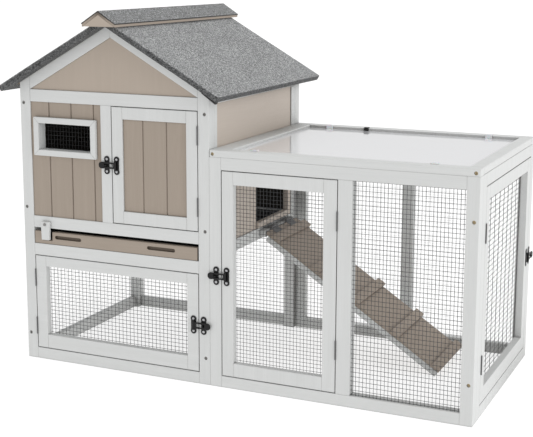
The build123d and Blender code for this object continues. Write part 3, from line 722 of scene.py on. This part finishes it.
def markSticks(piece, node):
    # gives every stick its own grain coordinates and tone, then puts them together again
    draw = random.Random("grain " + node)
    pick(piece)
    editMode()
    bpy.ops.mesh.select_all(action="SELECT")
    bpy.ops.mesh.separate(type="LOOSE")
    objectMode()
    def lowestCorner(part):
        return tuple(round(c, 4) for c in part.bound_box[0])
    sticks = sorted(bpy.context.selected_objects, key=lowestCorner)
    for part in sticks:
        corners = np.empty(len(part.data.vertices) * 3)
        part.data.vertices.foreach_get("co", corners)
        corners = corners.reshape(-1, 3)
        way = grainWay(node, corners)
        side = way.orthogonal().normalized()
        turn = np.array([way, side, way.cross(side)])
        offset = np.array([draw.uniform(0, 20), draw.uniform(0, 20), draw.uniform(0, 20)])
        stick = part.data.attributes.new("stick", "FLOAT_VECTOR", "POINT")
        stick.data.foreach_set("vector", (corners @ turn.T + offset).ravel())
        tone = part.data.attributes.new("tone", "FLOAT", "POINT")
        tone.data.foreach_set("value", np.full(len(corners), draw.random()))
    return joinPieces(sticks, camelCase(node))


def buildTimber():
    # every wooden part: its own grain on each stick, and edges rounded by sanding
    timberSet = {"edgeRound": 0.9 * mm, "steps": 2, "angle": 50, "board": 66 * mm,
                 "firstGroove": 84 * mm, "firstDoorGroove": 355.5 * mm, "gripHeight": 332 * mm,
                 "gripHalf": 4.8 * mm, "gripDeep": (0.6 * mm, 7.5 * mm)}
    starts = {"front_board_panel": "firstGroove", "upper_door_panel": "firstDoorGroove"}
    grooves = {node: {"first": houseLeft + timberSet[start], "width": timberSet["board"]}
               for node, start in starts.items()}
    looks = {"white_wood": "whiteWash", "tan_wood": "taupeStain", "roof_board": "bareBoard"}
    cabinShadeSides = {"side_panel_left": (1, 0, 0), "side_panel_right": (-1, 0, 0), "front_board_panel": (0, 1, 0),
                "back_panel": (0, -1, 0), "upper_door_panel": (0, 1, 0)}
    shared = {slot: woodMaterial(look, woodLooks[look]) for slot, look in looks.items()}
    sideStain, gableStain, cabinInside = (
        woodMaterial(look, woodLooks[look]) for look in ("sideStain", "gableStain", "cabinInside"))
    for node in sorted(frame["nodes"]):
        slot = slotOf[node]
        if slot not in looks or node == "turn_button":
            continue
        material = shared[slot]
        # painted light: the side panels take the paler, lit copy of the stain
        if node.startswith("side_panel"):
            material = sideStain
        if node in ("gable_panels", "ridge_cap_ends"):
            material = gableStain
        if node in grooves:
            material = woodMaterial(camelCase(node) + "Stain", woodLooks[looks[slot]], grooves[node])
        piece = markSticks(copyNode(node), node)
        if node != "lid_frame":  # its grooves for the sheet are too narrow to round
            roundEdges(piece, timberSet["edgeRound"], timberSet["steps"], timberSet["angle"])
        finish(piece, camelCase(node), bodyOf[node], material, [node], smooth=35)
        if node in cabinShadeSides:
            piece.data.materials.append(cabinInside)  # painted shade: the cabin walls' inward faces are near-black, for the dark cabin
            way = Vector(cabinShadeSides[node])
            for face in piece.data.polygons:
                face.material_index = 1 if face.normal.dot(way) > 0.9 else 0
        if node == "tray_front":
            # painted shade: the faces deep in the two finger grips get the near-black brown for the shade in
            # the slots
            piece.data.materials.append(woodMaterial("routedGrip", woodLooks["routedGrip"]))
            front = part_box(node)[0].y
            nearest, deepest = timberSet["gripDeep"]
            for face in piece.data.polygons:  # the two finger grips, cut into the front
                deep = front + nearest < face.center.y < front + deepest
                level = abs(face.center.z - timberSet["gripHeight"]) < timberSet["gripHalf"]
                face.material_index = 1 if deep and level else 0


wireSet = {"hidden": 0.6 * mm, "sides": 6, "wobble": 0.3 * mm}
wireSizes = {  # from one upright wire to the next, one level wire to the next, and a wire's thickness
    "window_mesh": (9.1 * mm, 11.0 * mm, 0.95 * mm), "house_mesh": (10.5 * mm, 11.0 * mm, 0.6 * mm),
    "lower_door_mesh": (10.8 * mm, 10.0 * mm, 1.1 * mm), "run_mesh": (8.85 * mm, 11.1 * mm, 1.12 * mm),
    "run_door_mesh": (8.8 * mm, 9.5 * mm, 1.0 * mm), "end_door_mesh": (44.0 * mm, 12.7 * mm, 1.4 * mm),
}


def wireRun(start, end, thick):
    # one straight wire with a few rings of points
    deselectAll()
    span = end - start
    bpy.ops.mesh.primitive_cylinder_add(vertices=wireSet["sides"], radius=thick / 2, depth=span.length,
                                        location=(start + end) / 2, end_fill_type="NGON")
    wire = bpy.context.active_object
    wire.rotation_euler = span.to_track_quat("Z", "X").to_euler()
    bpy.ops.object.transform_apply(location=True, rotation=True, scale=True)
    return wire


def wireGrid(corner, far, flat, thick, pitches):
    # upright and level wires over a flat box, built inwards from its frame; flat is its thin axis, 0 or 1
    across = 1 - flat
    size = far - corner
    inward = 1 if corner[flat] < middle[flat] else -1
    skin = corner[flat] if inward > 0 else far[flat]
    wires = []
    for way, other, pitch, layer in ((2, across, pitches[0], 0.5), (across, 2, pitches[1], 1.45)):
        count = int(size[other] / pitch)
        margin = (size[other] - count * pitch) / 2
        start, end = corner.copy(), corner.copy()
        start[flat] = end[flat] = skin + inward * layer * thick
        start[other] = end[other] = corner[other] + margin
        end[way] = far[way]
        wire = wireRun(start, end, thick)
        repeat = wire.modifiers.new("repeat", "ARRAY")
        repeat.count = count + 1
        repeat.use_relative_offset = False
        repeat.use_constant_offset = True
        step = Vector((0, 0, 0))
        step[other] = pitch
        repeat.constant_offset_displace = step
        pick(wire)
        bpy.ops.object.modifier_apply(modifier="repeat")
        editMode()
        bpy.ops.mesh.select_mode(type="EDGE")
        bpy.ops.mesh.select_all(action="DESELECT")
        objectMode()
        selectLongEdges(wire, way, size[way])
        editMode()
        bpy.ops.mesh.subdivide(number_cuts=max(2, int(size[way] / 0.05)))
        bpy.ops.mesh.select_mode(type="VERT")
        objectMode()
        wires.append(wire)
    return wires


def selectLongEdges(wire, way, length):
    # the edges that run the length of a wire along the axis way
    clearSelection(wire)
    for edge in wire.data.edges:
        a, b = (wire.data.vertices[index].co for index in edge.vertices)
        edge.select = abs(a[way] - b[way]) > length * 0.9


def wobbleWires(piece, flat):
    # the slight waves of wire cut from a roll, in and out of its own plane
    for axis, size, strength in ((flat, 0.16, wireSet["wobble"]), (1 - flat, 0.09, wireSet["wobble"] * 0.6)):
        waves = bpy.data.textures.new(piece.name + "Waves" + "XY"[axis], "CLOUDS")
        waves.noise_scale = size
        bend = piece.modifiers.new("bend" + "XY"[axis], "DISPLACE")
        bend.texture = waves
        bend.texture_coords = "GLOBAL"
        bend.direction = "XY"[axis]
        bend.strength = strength * 2
        bend.mid_level = 0.5


def buildWire():
    dark = wireMaterial("coatedWire", (0.026, 0.027, 0.029), (0.07, 0.072, 0.075))
    black = wireMaterial("windowWire", (0.012, 0.012, 0.013), (0.03, 0.031, 0.032))
    bright = wireMaterial("galvanisedWire", (0.74, 0.75, 0.76), (0.88, 0.89, 0.90))
    for node, (acrossPitch, upPitch, frontThick) in wireSizes.items():
        grids = {"": [], "Back": []}  # the left and back have thinner, bright wire
        for corner, far in sheetBoxes(node):
            flat = 0 if far.x - corner.x < far.y - corner.y else 1
            hidden = node == "house_mesh" or corner.y > middle.y
            thick = wireSet["hidden"] if hidden else frontThick
            grids["Back" if hidden else ""] += wireGrid(corner, far, flat, thick, (acrossPitch, upPitch))
        for part, wires in grids.items():
            if not wires:
                continue
            piece = joinPieces(wires, camelCase(node) + part)
            if node not in ("house_mesh", "window_mesh"):
                wobbleWires(piece, 0 if node == "end_door_mesh" else 1)
            material = bright if part else black if node == "window_mesh" else dark
            finish(piece, camelCase(node) + part, bodyOf[node], material, [node], smooth=60)


def sheetBoxes(node):
    # the box of each flat sheet in a mesh node
    copyNode(node)
    editMode()
    bpy.ops.mesh.select_all(action="SELECT")
    bpy.ops.mesh.separate(type="LOOSE")
    objectMode()
    boxes = []
    for part in list(bpy.context.selected_objects):
        corners = [Vector(vertex.co) for vertex in part.data.vertices]
        boxes.append((Vector(map(min, *corners)), Vector(map(max, *corners))))
        bpy.data.objects.remove(part)
    return sorted(boxes, key=lambda pair: tuple(pair[0]))


def softenNode(node, material, width, steps=2):
    # the part's own shape, with its hard edges rounded
    piece = copyNode(node)
    roundEdges(piece, width, steps, 30)
    return finish(piece, camelCase(node), bodyOf[node], material, [node], smooth=40)


def buildHardware():
    black, grey = (paintedSteel(name, look) for name, look in paintLooks.items())
    for node in sorted(frame["nodes"]):
        if slotOf[node] == "black_hardware":
            if "latch" in node or node == "lid_stop":
                softenNode(node, black, 0.35 * mm)
            else:
                paintNode(node, grey)
    screws = screwMaterial("darkZinc", (0.36, 0.35, 0.34), (0.20, 0.19, 0.18), (0.66, 0.50, 0.24))
    paintNode("frame_screws", screws)


latchScrewSet = {"radius": 3.0 * mm, "height": 1.5 * mm, "lobe": 15.4 * mm, "behindPivot": 3.7 * mm,
                 "door": -2.0 * mm, "keeper": 26.0 * mm}
latchFacts = {
    "upper_latch_pivot": {"keeperWay": (-1, 0, 0), "out": (0, -1, 0)},
    "lower_latch_pivot": {"keeperWay": (1, 0, 0), "out": (0, -1, 0)},
    "run_latch_pivot": {"keeperWay": (-1, 0, 0), "out": (0, -1, 0)},
    "end_latch_pivot": {"keeperWay": (0, 1, 0), "out": (1, 0, 0)},
}


def panHead(radius, height):
    # a round screw head with a cross recess, its flat face at the origin, facing +Z
    deselectAll()
    bpy.ops.mesh.primitive_cylinder_add(vertices=24, radius=radius, depth=height * 0.5,
                                        location=(0, 0, height * 0.25))
    head = bpy.context.active_object
    bpy.ops.object.transform_apply(location=True, rotation=True, scale=True)
    selectFaces(head, lambda face: face.normal.z > 0.9)
    editMode()
    bpy.ops.mesh.inset(thickness=radius * 0.28, depth=height * 0.3)
    bpy.ops.mesh.inset(thickness=radius * 0.25, depth=height * 0.12)
    objectMode()
    bars = []
    for turn in (20, 110):
        size = (radius * 1.15, radius * 0.24, height * 0.8)
        bars.append(addBox((0, 0, height * 0.95), size, math.radians(turn)))
    for bar in bars:
        cut = head.modifiers.new("cross", "BOOLEAN")
        cut.operation = "DIFFERENCE"
        cut.object = bar
        cut.solver = "EXACT"
        pick(head)
        bpy.ops.object.modifier_apply(modifier=cut.name)
        bpy.data.objects.remove(bar)
    return head


def buildLatchScrews():
    zinc = screwMaterial("brightZinc", (0.72, 0.72, 0.73), (0.50, 0.50, 0.52))
    pattern = panHead(latchScrewSet["radius"], latchScrewSet["height"])
    keepers = []
    for name, facts in latchFacts.items():
        pivot = Vector(joints[name]["pos_m"])
        way = Vector(facts["keeperWay"])
        out = Vector(facts["out"])
        face = pivot - out * latchScrewSet["behindPivot"]
        onDoor = []
        for side in ("door", "keeper"):
            for up in (-1, 1):
                place = face + way * latchScrewSet[side] + Vector((0, 0, up * latchScrewSet["lobe"]))
                screw = copyOf(pattern, (0, 0, 0))
                turn = out.to_track_quat("Z", "X").to_matrix().to_4x4()
                screw.data.transform(Matrix.Translation(place) @ turn)
                (onDoor if side == "door" else keepers).append(screw)
        door = joints[name]["parent"]
        screws = joinPieces(onDoor, door)
        finish(screws, camelCase(door) + "LatchScrews", door, zinc, smooth=35)
    finish(joinPieces(keepers, "keepers"), "keeperScrews", "root", zinc, smooth=35)
    bpy.data.objects.remove(pattern)


def buildTurnButton():
    # the white turn button, narrower at its free end, with softened edges
    buttonSet = {"taper": 0.9, "round": 1.6 * mm}
    lowCorner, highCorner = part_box("turn_button")
    centre, size = (lowCorner + highCorner) / 2, highCorner - lowCorner
    button = addBox(centre, size)
    selectFaces(button, lambda face: face.normal.z < -0.9)
    editMode()
    bpy.ops.transform.resize(value=(buttonSet["taper"], buttonSet["taper"], 1.0), center_override=centre)
    bpy.ops.mesh.select_all(action="SELECT")
    bpy.ops.mesh.bevel(offset=buttonSet["round"], segments=3)
    objectMode()
    corners = np.array([vertex.co for vertex in button.data.vertices])
    stick = button.data.attributes.new("stick", "FLOAT_VECTOR", "POINT")
    stick.data.foreach_set("vector", (corners[:, [2, 0, 1]] + 3.0).ravel())
    tone = button.data.attributes.new("tone", "FLOAT", "POINT")
    tone.data.foreach_set("value", np.full(len(corners), 0.2))
    finish(button, "turnButton", "tray_button", woodMaterial("buttonWash", woodLooks["whiteWash"]),
           ["turn_button"], smooth=50)


def feltSheet(name, start, slope, length, thick, front, back, ridge, lip, felt):
    # a sheet laid on one roof board and folded round its edges, made flat at the eave and then tipped up
    sheet = addBox((length / 2, (front + back) / 2, thick / 2), (length, back - front, thick))
    editMode()
    bpy.ops.mesh.select_all(action="SELECT")
    bpy.ops.mesh.bevel(offset=3.0 * mm, segments=3)
    objectMode()
    selectFaces(sheet, lambda face: face.normal.z < -0.999)
    editMode()
    bpy.ops.mesh.inset(thickness=lip)
    bpy.ops.mesh.delete(type="FACE")
    objectMode()
    smooth = sheet.modifiers.new("points", "SUBSURF")
    smooth.subdivision_type = "SIMPLE"
    smooth.levels = smooth.render_levels = 4
    applyAll(sheet)
    sheet.data.transform(Matrix.Rotation(-slope, 4, "Y"))
    sheet.data.transform(Matrix.Translation(start))
    waves = bpy.data.textures.new(name + "Waves", "CLOUDS")
    waves.noise_scale = 0.13
    sag = sheet.modifiers.new("sag", "DISPLACE")
    sag.texture = waves
    sag.texture_coords = "GLOBAL"
    sag.direction = "Z"
    sag.strength = 1.6 * mm
    sag.mid_level = 0.9
    applyAll(sheet)
    editMode()
    bpy.ops.mesh.select_all(action="SELECT")
    bpy.ops.mesh.bisect(plane_co=(ridge, 0, 0), plane_no=(1, 0, 0), clear_outer=True)
    objectMode()
    wall = sheet.modifiers.new("wall", "SOLIDIFY")
    wall.thickness = felt
    wall.offset = -1.0
    return sheet


def mirrorCopy(piece, ridge):
    twin = copyOf(piece, (0, 0, 0))
    away, home = Matrix.Translation((ridge, 0, 0)), Matrix.Translation((-ridge, 0, 0))
    twin.data.transform(away @ Matrix.Scale(-1, 4, (1, 0, 0)) @ home)
    twin.data.flip_normals()
    return twin


def cornerFold(corner, slope, material):
    # the end of the felt tucked under the right eave's front corner, thin uphill and thick at the corner
    foldSet = {"length": 44 * mm, "deep": 7 * mm, "high": 3.0 * mm, "bulge": 1.7}
    size = (foldSet["length"], foldSet["deep"], foldSet["high"])
    fold = addBox((-size[0] / 2, size[1] / 2, -size[2] / 2), size)
    selectFaces(fold, lambda face: face.normal.x > 0.9)
    editMode()
    bpy.ops.transform.resize(value=(1.0, foldSet["bulge"], foldSet["bulge"]), center_override=(0, 0, 0))
    bpy.ops.mesh.select_all(action="DESELECT")
    objectMode()
    selectFaces(fold, lambda face: face.normal.x < -0.9)
    editMode()
    bpy.ops.transform.resize(value=(1.0, 1.0, 0.3), center_override=(0, 0, 0))
    bpy.ops.mesh.select_all(action="SELECT")
    bpy.ops.mesh.bevel(offset=0.7 * mm, segments=2)
    objectMode()
    fold.data.transform(Matrix.Translation(corner) @ Matrix.Rotation(slope, 4, "Y"))
    finish(fold, "feltCornerFold", "root", material, smooth=50)


def buildFelt():
    feltSet = {"pitch": 29.6, "capPitch": 32.6, "lip": 26.0 * mm, "thick": 2.0 * mm, "board": 12.0 * mm}
    felt = feltMaterial("mineralFelt", 1.0)
    lowCorner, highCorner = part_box("roof_felt")
    ridge = (lowCorner.x + highCorner.x) / 2
    slope = math.radians(feltSet["pitch"])
    whole = feltSet["board"] + 2 * feltSet["thick"]
    eave = Vector((lowCorner.x + whole * math.sin(slope), 0, lowCorner.z))
    length = (ridge - eave.x) / math.cos(slope) + 0.03
    left = feltSheet("roofFelt", eave, slope, length, whole, lowCorner.y, highCorner.y, ridge,
                     feltSet["lip"], feltSet["thick"])
    applyAll(left)
    both = joinPieces([left, mirrorCopy(left, ridge)], "roofFelt")
    finish(both, "roofFelt", "root", felt, ["roof_felt"], smooth=50)
    bitumen = bitumenEdge()
    cornerFold(Vector((2 * ridge - eave.x, lowCorner.y, lowCorner.z)), slope, bitumen)
    cap = softenNode("ridge_cap_felt", feltMaterial("capFelt", 0.76), 0.3 * mm)
    cap.data.materials.append(bitumen)
    for face in cap.data.polygons:
        lying = abs(abs(face.normal.z) - math.cos(math.radians(feltSet["capPitch"]))) < 0.05
        face.material_index = 0 if lying and abs(face.normal.y) < 0.1 else 1


def buildLid():
    paintNode("lid_sheet", sheetMaterial())
    softenNode("lid_clips", clipMaterial(), 0.9 * mm, steps=3)


buildCamera()
buildLight()
buildFloor()
print("camera, light and floor done")
groups = {"grain": buildGrainGroup(), "edge": buildEdgeGroup(),
          "crevice": buildCreviceShadeGroup(), "dust": buildDustGroup()}
buildTimber()
print("timber done")
buildWire()
print("welded wire done")
buildHardware()
buildLatchScrews()
buildTurnButton()
print("hardware done")
buildFelt()
buildLid()
paintNode("tray_pan", trayMaterial())
print("roof, lid and tray done")

deselectAll()
